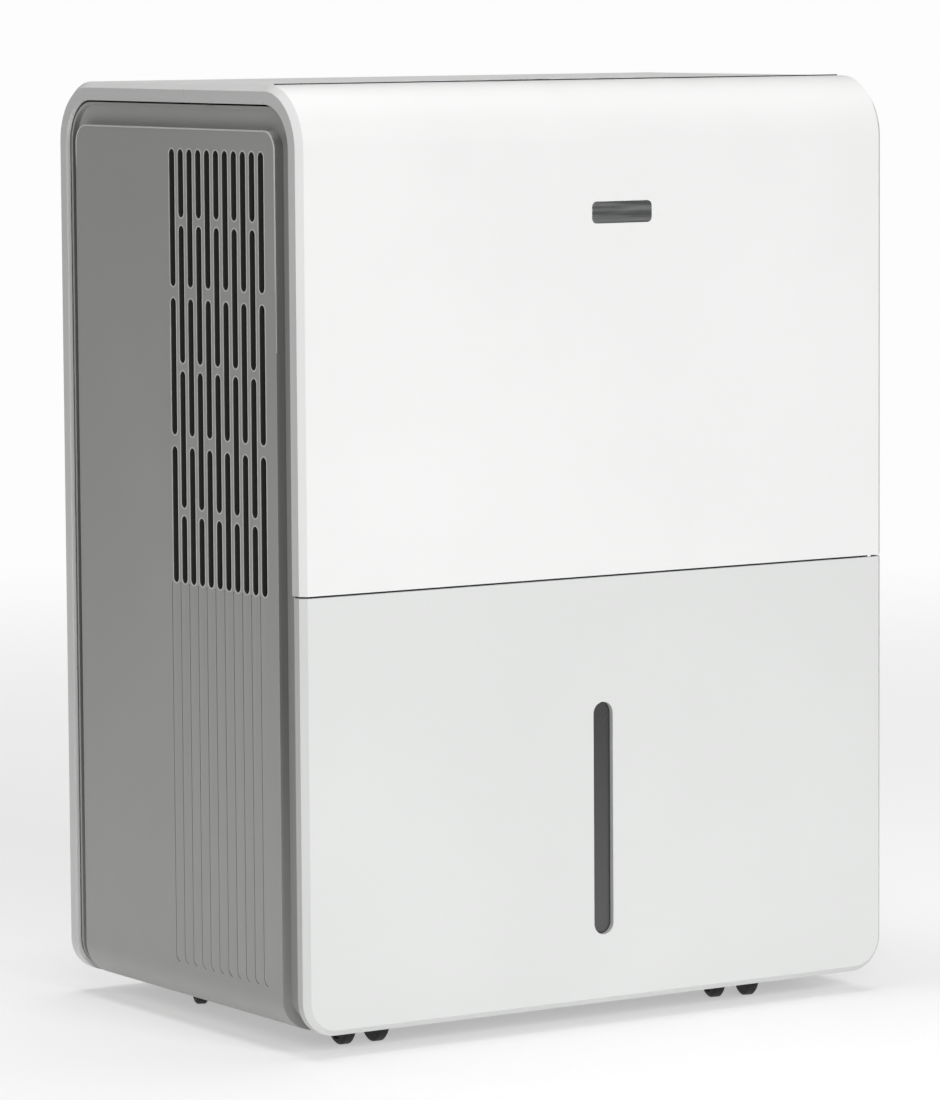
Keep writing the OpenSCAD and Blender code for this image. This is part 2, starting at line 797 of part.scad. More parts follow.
module bucket_front() color(WHITE) difference() {
    union() {
        shell_front(foot_z, seam_z - seam_gap / 2, bucket_lip);
        shell_foot(bucket_lip);
        along_y(in_front - 1, -128.9) stadium(0, window_z0 - 2.2, window_z1 + 2.2, window_w + 4.4);
        for (x = bucket_screw_x) rod_y(in_front - 1, tub_y0 - 0.05, x, 207, 4.5);
    }
    along_y(-140, -120) stadium(0, window_z0, window_z1, window_w);
    for (x = bucket_screw_x) rod_y(in_front, tub_y0 + 1, x, 207, 1.6);
}

// Clear strip with a flange behind the wall and a raised middle that nearly fills the opening
module bucket_window() color("#4a4b49") {
    along_y(-128.8, tub_y0 - 0.1) stadium(0, window_z0 - 2, window_z1 + 2, window_w + 4);
    along_y(in_front + 0.2, -128.7)
        stadium(0, window_z0 + gap, window_z1 - gap, window_w - 2 * gap);
}

module tub_region(inset) {
    round_rect([-tub_x + inset, tub_y0 + inset], [tub_x - inset, tub_y1 - inset], 14 - inset);
}

module bucket_tub() color("#9a9d9d") {
    difference() {
        translate([0, 0, tub_z0]) linear_extrude(tub_z1 - tub_z0) tub_region(0);
        translate([0, 0, tub_z0 + tub_t]) linear_extrude(tub_z1) tub_region(tub_t);
    }
    for (x = bucket_screw_x) difference() {
        block([x - 9, tub_y0, tub_z1 - 3], [x + 9, tub_y0 + tub_t, tub_z1 + 14]);
        rod_y(tub_y0 - 1, tub_y0 + 4, x, 207, 1.9);
    }
    for (side = [-1, 1]) {
        rod_x(side > 0 ? tub_x - 1 : -tub_x - 6.2, side > 0 ? tub_x + 6.2 : -tub_x + 1,
            pivot_y, pivot_z, pivot_r);
    }
    for (x = [float_x0 - 3, float_x1]) difference() {
        block([x, float_y - 7, float_z - 7], [x + 3, tub_y1 - 1, float_z + 7]);
        rod_x(x - 1, x + 4, float_y, float_z, 2 + fit_gap);
    }
    for (x = [-120, -40, 40, 120]) {
        block([x - 4, tub_y0 + 20, tub_z0 - 2.2], [x + 4, tub_y1 - 16, tub_z0 + 0.1]);
    }
}

module bucket_lid() color("#e6e7e5") difference() {
    translate([0, 0, tub_z1 + 0.05]) linear_extrude(2.6)
        round_rect([-tub_x + 1, tub_y0 + 5.5], [tub_x - 1, -66], 6);
    for (x = [-120 : 24 : 120]) block([x - 1, -112, tub_z1 + 2], [x + 1, -76, tub_z1 + 4]);
}

module bucket_screws() color(STEEL) for (x = bucket_screw_x) {
    rod_y(tub_y0 + tub_t + 0.05, tub_y0 + tub_t + 2, x, 207, 3.4);
    rod_y(in_front + 1, tub_y0 + tub_t + 0.1, x, 207, 1.5);
}

module bucket_handle() color("#d5d7d6") {
    x0 = tub_x + 2.4;
    x1 = tub_x + 5.6;
    bar_y = pivot_y - handle_reach;
    bar_z = pivot_z + handle_rise;
    lean = atan2(handle_rise, handle_reach);
    for (side = [-1, 1]) along_x(side > 0 ? x0 : -x1, side > 0 ? x1 : -x0) difference() {
        union() {
            translate([pivot_y, pivot_z]) circle(7.5);
            translate([bar_y, bar_z]) circle(5);
            translate([pivot_y, pivot_z]) rotate(180 - lean) translate([0, -4.5]) square([handle_arm, 9]);
        }
        translate([pivot_y, pivot_z]) circle(pivot_r + fit_gap);
    }
    rod_x(-x0 - 1, x0 + 1, bar_y, bar_z, 4.6);
    rod_x(-55, 55, bar_y, bar_z, 5);
}

module bucket_float() color("#f4f4ee") {
    along_x(float_x0 + 4, float_x1 - 4) round_rect([-58, 150], [-20, 172], 4);
    for (x = [float_x0 + 1, float_x1 - 4]) along_x(x, x + 3) {
        translate([float_y, float_z]) circle(5);
        polygon([[float_y - 4, float_z + 3.5], [float_y + 3.5, float_z - 3.5], [-24, 156], [-44, 166]]);
    }
    rod_x(float_x0 + 2, float_x1 - 2, float_y, float_z, 4);
    rod_x(float_x0 - 2.5, float_x1 + 2.5, float_y, float_z, 2);
}

// ---------- casters ----------

// Places a caster part at its stem, turned as it stands at rest
module at_caster(i, turn) {
    translate([caster_points[i][0], caster_points[i][1], 0]) rotate([0, 0, turn]) children();
}

module caster_housing() color(BLACK) difference() {
    union() {
        along_x(-fork_half, fork_half) union() {
            translate([-caster_trail, wheel_r]) circle(4.4);
            polygon([[-caster_trail - 4.3, 14], [-caster_trail - 3, 20], [-6, 26], [8, 26], [8, 20],
                [2, 15], [-caster_trail + 3, 10]]);
        }
        rod_z(24, 28, 0, 0, 6);
        rod_z(27, 42, 0, 0, 4);
    }
    rod_x(-10, 10, -caster_trail, wheel_r, axle_r + fit_gap);
}

module caster_wheels() color(BLACK) for (side = [0, 1]) {
    translate([0, -caster_trail, wheel_r]) mirror([side, 0, 0]) rotate([0, 90, 0]) rotate_extrude()
        polygon([[axle_r, wheel_in], [5, wheel_in], [5, wheel_in + 0.8],
            [wheel_r - 1.2, wheel_in + 0.8], [wheel_r, wheel_in + 1.8], [wheel_r, wheel_out - 1.4],
            [wheel_r - 1.4, wheel_out], [wheel_r - 3.4, wheel_out], [wheel_r - 3.8, wheel_out - 0.8],
            [5, wheel_out - 0.8], [4.4, wheel_out], [axle_r, wheel_out]]);
}

module caster_axle() color(STEEL) {
    rod_x(-wheel_out + 0.2, wheel_out - 0.2, -caster_trail, wheel_r, axle_r);
}

module caster_front_left() at_caster(0, turn_fl) caster_housing();
module caster_front_right() at_caster(1, turn_fr) caster_housing();
module caster_rear_left() at_caster(2, turn_rl) caster_housing();
module caster_rear_right() at_caster(3, turn_rr) caster_housing();
module wheels_front_left() at_caster(0, turn_fl) caster_wheels();
module wheels_front_right() at_caster(1, turn_fr) caster_wheels();
module wheels_rear_left() at_caster(2, turn_rl) caster_wheels();
module wheels_rear_right() at_caster(3, turn_rr) caster_wheels();
module axle_front_left() at_caster(0, turn_fl) caster_axle();
module axle_front_right() at_caster(1, turn_fr) caster_axle();
module axle_rear_left() at_caster(2, turn_rl) caster_axle();
module axle_rear_right() at_caster(3, turn_rr) caster_axle();

front_panel();
top_panel();
rear_cover();
left_side_panel();
right_side_panel();
base_pan();
bucket_bay_liner();
mid_deck();
air_baffle();
badge();
display_lens();
control_board();
board_screws();
electrical_box();
run_capacitor();
humidity_sensor();
bucket_sensor();
drain_pan();
drain_outlet();
cord_inlet();
evaporator();
condenser();
compressor();
compressor_grommets();
compressor_bolts();
refrigerant_tubes();
filter_drier();
fan_scroll();
fan_motor();
case_screws();
fan_wheel();
fan_shaft();
air_filter_frame();
air_filter_mesh();
bucket_front();
bucket_tub();
bucket_window();
bucket_lid();
bucket_screws();
bucket_handle();
bucket_float();
drain_plug();
button_power();
button_mode();
button_fan();
button_timer();
button_up();
button_down();
caster_front_left();
caster_front_right();
caster_rear_left();
caster_rear_right();
wheels_front_left();
wheels_front_right();
wheels_rear_left();
wheels_rear_right();
axle_front_left();
axle_front_right();
axle_rear_left();
axle_rear_right();
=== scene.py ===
"""Looks of the dehumidifier: materials, fine surface detail, camera and light."""
import json
import math

import bmesh
import bpy
from mathutils import Matrix, Vector


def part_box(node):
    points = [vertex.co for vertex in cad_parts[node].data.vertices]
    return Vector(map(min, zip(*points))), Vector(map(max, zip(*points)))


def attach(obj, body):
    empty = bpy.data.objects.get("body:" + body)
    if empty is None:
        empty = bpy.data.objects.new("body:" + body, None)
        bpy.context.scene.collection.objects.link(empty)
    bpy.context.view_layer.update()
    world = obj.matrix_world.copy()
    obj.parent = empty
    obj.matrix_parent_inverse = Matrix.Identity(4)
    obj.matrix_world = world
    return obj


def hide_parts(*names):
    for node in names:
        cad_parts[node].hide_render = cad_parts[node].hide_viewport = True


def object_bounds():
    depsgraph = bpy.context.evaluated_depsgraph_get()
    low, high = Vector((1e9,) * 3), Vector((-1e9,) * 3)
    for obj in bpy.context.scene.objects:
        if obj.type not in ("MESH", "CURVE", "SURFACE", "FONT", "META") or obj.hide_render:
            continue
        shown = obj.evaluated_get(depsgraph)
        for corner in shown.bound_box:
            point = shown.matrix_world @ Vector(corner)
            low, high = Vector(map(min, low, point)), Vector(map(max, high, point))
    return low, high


MM = 0.001

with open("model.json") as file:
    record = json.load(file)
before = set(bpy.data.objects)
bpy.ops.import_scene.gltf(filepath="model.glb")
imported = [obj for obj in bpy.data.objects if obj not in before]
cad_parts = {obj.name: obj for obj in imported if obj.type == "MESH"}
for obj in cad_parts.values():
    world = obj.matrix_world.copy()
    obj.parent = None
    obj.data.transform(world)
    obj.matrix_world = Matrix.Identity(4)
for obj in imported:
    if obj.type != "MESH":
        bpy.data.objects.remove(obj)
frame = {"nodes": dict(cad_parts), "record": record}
nodes = frame["nodes"]
cad_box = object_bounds()
scene = bpy.context.scene


# ---------- materials ----------

# The range that a noise texture's values mostly stay in
NOISE_LOW, NOISE_HIGH = 0.3, 0.7
# The pointiness at which an edge begins to look rubbed, and at which it is fully rubbed
RUBBED = (0.52, 0.62)


def new_material(name):
    """An empty node material and its Principled shader."""
    mat = bpy.data.materials.new(name)
    mat.use_nodes = True
    return mat, mat.node_tree, mat.node_tree.nodes["Principled BSDF"]


def noise(tree, scale, detail=2.0, stretch=(1, 1, 1)):
    """Noise over the object's own coordinates; scale is in features per metre."""
    coords = tree.nodes.new("ShaderNodeTexCoord")
    mapping = tree.nodes.new("ShaderNodeMapping")
    mapping.inputs["Scale"].default_value = stretch
    tex = tree.nodes.new("ShaderNodeTexNoise")
    tex.inputs["Scale"].default_value = scale
    tex.inputs["Detail"].default_value = detail
    tree.links.new(coords.outputs["Object"], mapping.inputs["Vector"])
    tree.links.new(mapping.outputs["Vector"], tex.inputs["Vector"])
    return tex.outputs["Fac"]


def spread(tree, value, low, high):
    """Maps a noise value from its usual range onto low to high."""
    node = tree.nodes.new("ShaderNodeMapRange")
    node.inputs["From Min"].default_value = NOISE_LOW
    node.inputs["From Max"].default_value = NOISE_HIGH
    node.inputs["To Min"].default_value = low
    node.inputs["To Max"].default_value = high
    tree.links.new(value, node.inputs["Value"])
    return node.outputs["Result"]


def tint(tree, factor, dark, light):
    """A colour between dark and light."""
    ramp = tree.nodes.new("ShaderNodeValToRGB")
    ramp.color_ramp.elements[0].color = (*dark, 1)
    ramp.color_ramp.elements[1].color = (*light, 1)
    tree.links.new(factor, ramp.inputs["Fac"])
    return ramp.outputs["Color"]


def calc(tree, operation, *values):
    """One Math node; each value is a number or another node's output."""
    node = tree.nodes.new("ShaderNodeMath")
    node.operation = operation
    for socket, value in zip(node.inputs, values):
        if isinstance(value, (int, float)):
            socket.default_value = value
        else:
            tree.links.new(value, socket)
    return node.outputs["Value"]


def between(tree, value, start, end):
    """0 at start and 1 at end, clamped."""
    node = tree.nodes.new("ShaderNodeMapRange")
    node.inputs["From Min"].default_value = start
    node.inputs["From Max"].default_value = end
    tree.links.new(value, node.inputs["Value"])
    return node.outputs["Result"]


def product(tree, first, *others):
    """The product of several values."""
    for other in others:
        first = calc(tree, "MULTIPLY", first, other)
    return first


def place(tree, source="Object"):
    """X, Y and Z of the object's own coordinates, or of its normals."""
    coords = tree.nodes.new("ShaderNodeTexCoord")
    split = tree.nodes.new("ShaderNodeSeparateXYZ")
    tree.links.new(coords.outputs[source], split.inputs["Vector"])
    return split.outputs


def recolor(tree, shader, mask, color):
    """Moves the base colour towards another where the mask is 1."""
    base = shader.inputs["Base Color"].links[0].from_socket
    mix = tree.nodes.new("ShaderNodeMix")
    mix.data_type = "RGBA"
    mix.inputs["B"].default_value = (*color, 1)
    tree.links.new(mask, mix.inputs["Factor"])
    tree.links.new(base, mix.inputs["A"])
    tree.links.new(mix.outputs["Result"], shader.inputs["Base Color"])


def bump(tree, shader, height, depth):
    """Bump of the given depth in metres."""
    node = tree.nodes.new("ShaderNodeBump")
    node.inputs["Strength"].default_value = 1.0
    node.inputs["Distance"].default_value = depth
    tree.links.new(height, node.inputs["Height"])
    tree.links.new(node.outputs["Normal"], shader.inputs["Normal"])


def shade(color, factor):
    return tuple(min(1.0, c * factor) for c in color)


def plastic(name, color, roughness, grain=1600, depth=0.00002, vary=0.02, coat=0.0, wear=0.06):
    """Moulded plastic: spark-eroded grain, slow colour drift and paler rubbed edges."""
    mat, tree, shader = new_material(name)
    drift = spread(tree, noise(tree, 6), 0, 1)
    base = tint(tree, drift, shade(color, 1 - vary), shade(color, 1 + vary))
    tree.links.new(base, shader.inputs["Base Color"])
    edge = tree.nodes.new("ShaderNodeNewGeometry")
    rub = between(tree, edge.outputs["Pointiness"], *RUBBED)
    recolor(tree, shader, product(tree, rub, wear), shade(color, 1.25))
    rough = spread(tree, noise(tree, 45, 3), roughness - 0.04, roughness + 0.04)
    tree.links.new(rough, shader.inputs["Roughness"])
    bump(tree, shader, noise(tree, grain, 2), depth)
    shader.inputs["Coat Weight"].default_value = coat
    shader.inputs["Coat Roughness"].default_value = 0.12
    return mat


def metal(name, color, roughness, stretch=(1, 1, 1), grain=900, depth=0.00001, vary=0.06):
    """Metal with a grain that runs along the axis with the smallest stretch."""
    mat, tree, shader = new_material(name)
    lines = noise(tree, grain, 3, stretch)
    base = tint(tree, spread(tree, lines, 0, 1), shade(color, 1 - vary), shade(color, 1 + vary))
    tree.links.new(base, shader.inputs["Base Color"])
    rough = spread(tree, noise(tree, grain / 2, 2, stretch), roughness - 0.07, roughness + 0.07)
    tree.links.new(rough, shader.inputs["Roughness"])
    shader.inputs["Metallic"].default_value = 1.0
    bump(tree, shader, lines, depth)
    return mat


# How far the window's hidden flange reaches past its raised middle
WINDOW_FLANGE = 2.3 * MM
# How far inside the raised middle's edge the painted shade line begins, and where it is fully dark
EDGE_SHADE_LINE = (0.9 * MM, 0.3 * MM)
# How far behind the window's front the black painted shade in the gap round it begins, and where it is
# black
GAP_SHADE = (0.12 * MM, 0.3 * MM)


def smoked(name, low, high, z_low, z_high):
    """Smoked clear plastic, dark from its own tint and from painted shade of the dim interior: lighter
    towards the bottom, with a painted shade line at its edge and black painted shade in its gap.
    """
    mat, tree, shader = new_material(name)
    at = place(tree)
    base = tint(tree, between(tree, at["Z"], z_low, z_high), low, high)
    tree.links.new(base, shader.inputs["Base Color"])
    start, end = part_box("bucket_window")
    half = (end.x - start.x) / 2 - WINDOW_FLANGE
    straight = (end.z - start.z) / 2 - WINDOW_FLANGE - half
    height = calc(tree, "ABSOLUTE", calc(tree, "SUBTRACT", at["Z"], (start.z + end.z) / 2))
    past = calc(tree, "MAXIMUM", calc(tree, "SUBTRACT", height, straight), 0.0)
    squares = calc(tree, "ADD", product(tree, at["X"], at["X"]), product(tree, past, past))
    line = between(tree, calc(tree, "SQRT", squares), half - EDGE_SHADE_LINE[0], half - EDGE_SHADE_LINE[1])
    # Painted shade: a dark line just inside the raised middle's edge
    recolor(tree, shader, line, (0.01, 0.01, 0.01))
    gap = between(tree, at["Y"], start.y + GAP_SHADE[0], start.y + GAP_SHADE[1])
    # Painted shade: the gap round the window made black
    recolor(tree, shader, gap, (0.004, 0.004, 0.004))
    rough = spread(tree, noise(tree, 60), 0.22, 0.28)
    tree.links.new(rough, shader.inputs["Roughness"])
    shader.inputs["Coat Weight"].default_value = 0.5
    shader.inputs["Coat Roughness"].default_value = 0.1
    bump(tree, shader, noise(tree, 1600), 0.000001)
    return mat


# The grille columns, as the side panels have them
COLUMNS = 11
COLUMN_PITCH = 9.68 * MM
SLOT_WIDTH = 6.0 * MM
FIRST_COLUMN = 39.5 * MM
SLOTS_LOW, SLOTS_HIGH = 251.3 * MM, 493.7 * MM
LONG_SLOT, HALF_SLOT = 76.5 * MM, 38.0 * MM
# The raised middle of the side panels: distances from the cabinet's faces, and corner
PLATEAU_FRONT, PLATEAU_REAR, PLATEAU_TOP = 25.0 * MM, 21.5 * MM, 24.5 * MM
PLATEAU_R = 11.0 * MM


def column_y(i):
    return cad_box[0].y + FIRST_COLUMN + i * COLUMN_PITCH


# Depths under the side panels' faces at which a wall begins and the channel's floor begins, as fades for
# the painted shade and painted light
WALL_DEPTH, FLOOR_DEPTH = (0.05 * MM, 0.35 * MM), (4.6 * MM, 5.6 * MM)
# Distances under the cabinet's top between which the painted light that makes the channel's floor paler
# fades in
CHANNEL_TOP = (28.0 * MM, 24.0 * MM)
# The Y of a normal from which a wall counts as turned to the front, as a fade
TURNED_FRONT = (-0.35, -0.9)
# Strength of the painted shade on the plateau's front wall at the bottom, what it gains upwards, and the
# heights in metres
PAINTED_SHADE_LOW, PAINTED_SHADE_GAIN, PAINTED_SHADE_HEIGHTS = 0.3, 0.45, (0.03, 0.2)


def paint_side_panel_light_and_shade(mat):
    """Painted shade on the walls inside the slots and on the plateau's front wall, and painted light
    that makes the channel above the plateau paler.
    """
    tree = mat.node_tree
    shader = tree.nodes["Principled BSDF"]
    at = place(tree)
    facing = place(tree, "Normal")
    depth = calc(tree, "SUBTRACT", cad_box[1].x, calc(tree, "ABSOLUTE", at["X"]))
    deep = between(tree, depth, *WALL_DEPTH)
    floor = between(tree, depth, *FLOOR_DEPTH)
    above = between(tree, at["Z"], cad_box[1].z - CHANNEL_TOP[0], cad_box[1].z - CHANNEL_TOP[1])
    # Painted light: the channel's floor above the plateau made paler than the panel
    recolor(tree, shader, product(tree, floor, above), (0.62, 0.62, 0.6))
    # Painted shade: the plateau's front wall, stronger upwards
    front = between(tree, facing["Y"], *TURNED_FRONT)
    gain = product(tree, between(tree, at["Z"], *PAINTED_SHADE_HEIGHTS), PAINTED_SHADE_GAIN)
    wall = product(tree, front, deep, calc(tree, "ADD", PAINTED_SHADE_LOW, gain))
    recolor(tree, shader, wall, (0.1, 0.1, 0.097))
    # Painted shade: the walls inside the grille slots made near black
    first, last = column_y(0), column_y(COLUMNS - 1)
    beside = calc(tree, "COMPARE", at["Y"], (first + last) / 2, (last - first + SLOT_WIDTH) / 2 + MM)
    middle, reach = (SLOTS_LOW + SLOTS_HIGH) / 2, (SLOTS_HIGH - SLOTS_LOW) / 2 + MM
    level = calc(tree, "COMPARE", at["Z"], middle, reach)
    recolor(tree, shader, product(tree, beside, level, deep), (0.05, 0.05, 0.048))


WHITE = (0.865, 0.87, 0.86)
LOOKS = {
    "white_casing": plastic("white_casing", WHITE, 0.4),
    "bucket_casing": plastic("bucket_casing", (0.735, 0.745, 0.735), 0.4),
    "grey_panel": plastic("grey_panel", (0.49, 0.49, 0.475), 0.42, wear=0.25),
    "dark_plastic": plastic("dark_plastic", (0.03, 0.031, 0.032), 0.55, grain=900),
    "black_plastic": plastic("black_plastic", (0.012, 0.012, 0.013), 0.5, grain=900),
    "wheel_plastic": plastic("wheel_plastic", (0.01, 0.01, 0.011), 0.45, grain=700, wear=0.4),
    "white_plastic": plastic("white_plastic", (0.8, 0.8, 0.78), 0.4),
    "tub_plastic": plastic("tub_plastic", (0.32, 0.33, 0.33), 0.32),
    # Dark from the smoke's tint and painted shade of the dim interior; lighter towards the bottom
    "smoked_window": smoked("smoked_window", (0.062, 0.064, 0.062), (0.036, 0.037, 0.036), 0.05, 0.18),
    "black_lens": plastic("black_lens", (0.006, 0.006, 0.008), 0.12, depth=0.000002, coat=1.0),
    "button_plastic": plastic("button_plastic", (0.7, 0.71, 0.71), 0.36, wear=0.2),
    "badge_metal": metal("badge_metal", (0.42, 0.425, 0.43), 0.3, (0.05, 1, 1)),
    "circuit_board": plastic("circuit_board", (0.02, 0.14, 0.05), 0.3, grain=300, coat=0.4),
    "steel": metal("steel", (0.55, 0.56, 0.57), 0.32),
    "zinc_sheet": metal("zinc_sheet", (0.5, 0.51, 0.52), 0.42, grain=90, vary=0.12),
    "capacitor_can": metal("capacitor_can", (0.62, 0.63, 0.64), 0.34, (1, 1, 0.05)),
    "black_rubber": plastic("black_rubber", (0.014, 0.014, 0.015), 0.75, grain=1200),
    "coil_aluminium": metal("coil_aluminium", (0.62, 0.64, 0.66), 0.38, (1, 1, 0.1)),
    "black_steel": plastic("black_steel", (0.012, 0.012, 0.013), 0.34, grain=400, coat=0.3),
    "copper": metal("copper", (0.72, 0.33, 0.19), 0.3),
    "filter_mesh": plastic("filter_mesh", (0.02, 0.02, 0.022), 0.6, grain=600),
    # Pale as a painted highlight on the beads of the grey side panels
    "slot_rim": plastic("slot_rim", (0.8, 0.8, 0.78), 0.36, wear=0.1),
    # Near black as painted shade for the walls inside the grille slots
    "slot_wall": plastic("slot_wall", (0.05, 0.05, 0.048), 0.55),
    "key_print": plastic("key_print", (0.09, 0.09, 0.095), 0.45),
    "lamp_print": plastic("lamp_print", (0.45, 0.62, 0.7), 0.3),
}
paint_side_panel_light_and_shade(LOOKS["grey_panel"])


def put_on(obj, look):
    obj.data.materials.clear()
    obj.data.materials.append(LOOKS[look])


def soften(obj, width, segments=2, angle=28):
    """Small moulded radii on the sharp edges, and smooth shading in between."""
    weld = obj.modifiers.new("weld", "WELD")
    weld.merge_threshold = 0.00001
    bevel = obj.modifiers.new("bevel", "BEVEL")
    bevel.width = width
    bevel.segments = segments
    bevel.limit_method = "ANGLE"
    bevel.angle_limit = math.radians(angle)
    bevel.use_clamp_overlap = True
    even = obj.modifiers.new("even_normals", "WEIGHTED_NORMAL")
    even.weight = 100
    for face in obj.data.polygons:
        face.use_smooth = True


# Widths in metres of the moulded radii on the edges, for the nodes that have any
KEY_EDGE, CASTER_EDGE = 0.0004, 0.0003
SOFT_EDGES = {
    "front_panel": 0.0007, "top_panel": 0.0005, "rear_cover": 0.0006, "bucket_front": 0.0007,
    "left_side_panel": 0.00012, "right_side_panel": 0.00012, "bucket_window": 0.0002,
    "bucket_tub": 0.0006, "bucket_lid": 0.0004, "bucket_handle": 0.0006, "bucket_float": 0.0006,
    "air_filter_frame": 0.0003, "drain_outlet": 0.0004, "drain_plug": 0.0004,
    "base_pan": 0.0005, "bucket_bay_liner": 0.0005, "badge": 0.00015, "cord_inlet": 0.0003,
}

for row in frame["record"]["subparts"]:
    put_on(nodes[row["node"]], row["material_slot"])

for name, obj in nodes.items():
    width = SOFT_EDGES.get(name)
    if name.startswith("button_"):
        width = KEY_EDGE
    if name.startswith(("caster_", "wheels_")):
        width = CASTER_EDGE
    if width:
        soften(obj, width)


# ---------- pieces that only the looks need ----------

def new_piece(name, bm, look, body):
    """Turns a bmesh into a piece that rides on a CAD body and repaints with a record slot."""
    mesh = bpy.data.meshes.new(name)
    bmesh.ops.recalc_face_normals(bm, faces=bm.faces)
    bm.to_mesh(mesh)
    bm.free()
    piece = bpy.data.objects.new(name, mesh)
    scene.collection.objects.link(piece)
    put_on(piece, look)
    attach(piece, body)
    return piece


def add_box(bm, low, high):
    size = Vector(high) - Vector(low)
    middle = (Vector(high) + Vector(low)) / 2
    bmesh.ops.create_cube(bm, size=1, matrix=Matrix.Translation(middle) @ Matrix.Diagonal((*size, 1)))


# Thickness of the side panel's skin, and depth, thickness and overlap of the walls behind it
SKIN = 2.3 * MM
LOUVRE_DEEP, LOUVRE_THICK, LOUVRE_PAST = 7.5 * MM, 1.2 * MM, 2 * MM


def louvres():
    """Upright walls that carry each slot inwards behind the left panel's skin, near black in the
    slot_wall look as painted shade.
    """
    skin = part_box("left_side_panel")[0].x + SKIN
    bm = bmesh.new()
    for i in range(COLUMNS):
        for side in (-1, 1):
            y = column_y(i) + side * (SLOT_WIDTH + LOUVRE_THICK) / 2
            low = (skin, y - LOUVRE_THICK / 2, SLOTS_LOW - LOUVRE_PAST)
            high = (skin + LOUVRE_DEEP, y + LOUVRE_THICK / 2, SLOTS_HIGH + LOUVRE_PAST)
            add_box(bm, low, high)
    # Painted shade: the louvres take the near-black slot_wall look
    new_piece("left_grille_louvres", bm, "slot_wall", "cabinet")


def slot_ends(i):
    """Lower and upper end of every slot in a column."""
    tall = SLOTS_HIGH - SLOTS_LOW
    if i % 2 == 0:
        lengths = (LONG_SLOT, LONG_SLOT, LONG_SLOT)
    else:
        lengths = (HALF_SLOT, LONG_SLOT, LONG_SLOT, HALF_SLOT)
    bridge = (tall - sum(lengths)) / (len(lengths) - 1)
    low = SLOTS_LOW
    for length in lengths:
        yield low, low + length
        low += length + bridge


# Section of a bead on the side panels: how far outwards and how proud of the face, in millimetres
SLOT_BEAD = ((0.0, -0.04), (0.06, 0.1), (0.6, 0.1), (0.72, -0.05))
EDGE_BEAD = ((-0.85, -0.05), (-0.65, 0.14), (-0.1, 0.14), (0.08, -0.3))
# How far the edge bead runs down the front and rear sides, and how deep it ends in millimetres
FRONT_BEAD, REAR_BEAD, BEAD_SUNK = 120.0 * MM, 30.0 * MM, 0.2


def add_bead(bm, path, section, side, closed):
    """A fine raised bead along points that come with their outward direction and how far it sinks."""
    rings = []
    for (y, z), (away_y, away_z), sunk in path:
        ring = []
        for outwards, proud in section:
            out = outwards * MM
            at = (side * (cad_box[1].x + (proud - sunk) * MM), y + away_y * out, z + away_z * out)
            ring.append(bm.verts.new(at))
        rings.append(ring)
    last = len(rings) if closed else len(rings) - 1
    for k in range(last):
        ring, following = rings[k], rings[(k + 1) % len(rings)]
        for j in range(len(section) - 1):
            bm.faces.new((ring[j], ring[j + 1], following[j + 1], following[j]))


def turn(y, z, radius, start, end, steps=10):
    """Points of an arc in the side's plane, each with its outward direction; degrees."""
    for k in range(steps + 1):
        angle = math.radians(start + (end - start) * k / steps)
        away = (math.cos(angle), math.sin(angle))
        yield (y + away[0] * radius, z + away[1] * radius), away, 0


def plateau_edge(bm, side):
    """Bead over the top of the raised middle of a side panel, sinking away down its two sides."""
    front = cad_box[0].y + PLATEAU_FRONT
    rear = cad_box[1].y - PLATEAU_REAR
    top = cad_box[1].z - PLATEAU_TOP
    path = [((front, top - FRONT_BEAD), (-1, 0), BEAD_SUNK)]
    path += turn(front + PLATEAU_R, top - PLATEAU_R, PLATEAU_R, 180, 90)
    path += turn(rear - PLATEAU_R, top - PLATEAU_R, PLATEAU_R, 90, 0)
    path.append(((rear, top - REAR_BEAD), (1, 0), BEAD_SUNK))
    add_bead(bm, path, EDGE_BEAD, side, False)


def slot_rims(name, side):
    """Beads round every slot of a side panel and over its raised middle, pale in the slot_rim look as a
    painted highlight on the grey panel.
    """
    bm = bmesh.new()
    half = SLOT_WIDTH / 2
    for i in range(COLUMNS):
        for low, high in slot_ends(i):
            path = [*turn(column_y(i), high - half, half, 0, 180)]
            path += turn(column_y(i), low + half, half, 180, 360)
            add_bead(bm, path, SLOT_BEAD, side, True)
    plateau_edge(bm, side)
    new_piece(name, bm, "slot_rim", "cabinet")


# Where the snap hooks sit: behind the front, under the top and inside the side faces
CATCH_BACK, CATCH_DOWN, CATCH_IN = 96.6 * MM, 10.5 * MM, 1.3 * MM
# Each hook's offset along the lip and its length, then half its width and its reach down and up
CATCHES = ((-1.6 * MM, 2.6 * MM), (2.2 * MM, 1.8 * MM))
CATCH_HALF, CATCH_LOW, CATCH_HIGH = 1.2 * MM, 0.9 * MM, 0.2 * MM


def lip_catches():
    """Small snap hooks of the side panels that show under the top lips, black as painted shade: they are
    of the panels' grey.
    """
    y, z = cad_box[0].y + CATCH_BACK, cad_box[1].z - CATCH_DOWN
    bm = bmesh.new()
    for side in (-1, 1):
        for along, length in CATCHES:
            x = side * (cad_box[1].x - CATCH_IN)
            low = (x - CATCH_HALF, y + along - length / 2, z - CATCH_LOW)
            high = (x + CATCH_HALF, y + along + length / 2, z + CATCH_HIGH)
            add_box(bm, low, high)
    # Painted shade: black hooks where the panels' grey plastic sits in shade
    new_piece("side_panel_catches", bm, "black_plastic", "cabinet")


# The seal in the top seam: its distance from the cabinet's sides, half its thickness, depth and height
SEAL_END, SEAL_HALF, SEAL_DEEP, SEAL_PROUD = 7 * MM, 0.45 * MM, 0.8 * MM, 0.6 * MM


